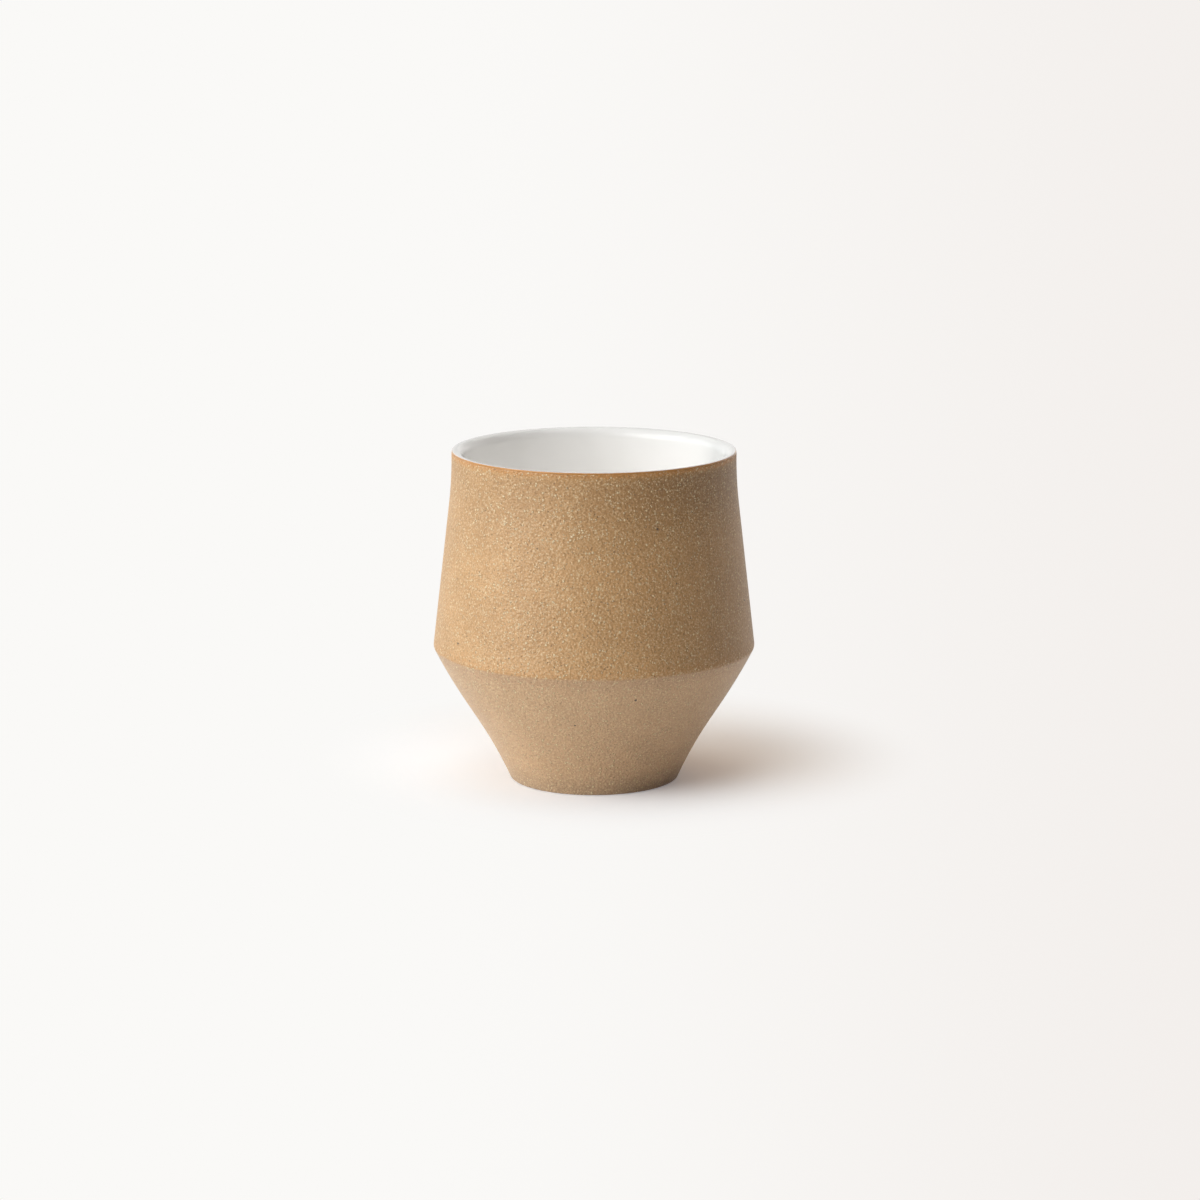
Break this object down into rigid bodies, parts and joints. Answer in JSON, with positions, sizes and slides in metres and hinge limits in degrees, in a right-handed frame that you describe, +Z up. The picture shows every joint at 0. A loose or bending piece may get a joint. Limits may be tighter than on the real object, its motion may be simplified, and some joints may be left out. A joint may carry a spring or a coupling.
{
  "type": "tea cup",
  "caption": "Tall handleless tea cup with a low sharp shoulder, bare speckled stoneware outside, white glaze inside and over the lip, standing on a turned foot.",
  "frame": {"origin": "centre of the circle the foot stands on, in the plane of the table", "axes": "+Z up along the cup's axis of revolution; X and Y level, with no preferred direction round the axis"},
  "size_m": [0.08, 0.08, 0.083],
  "materials": {
    "bare_stoneware": "unglazed, matt and sandy, tan with pale grog and a few dark iron specks",
    "white_glaze": "smooth white gloss"
  },
  "bodies": {
    "root": {"stoneware_body": "bare_stoneware", "glaze_lining": "white_glaze"}
  },
  "joints": []
}
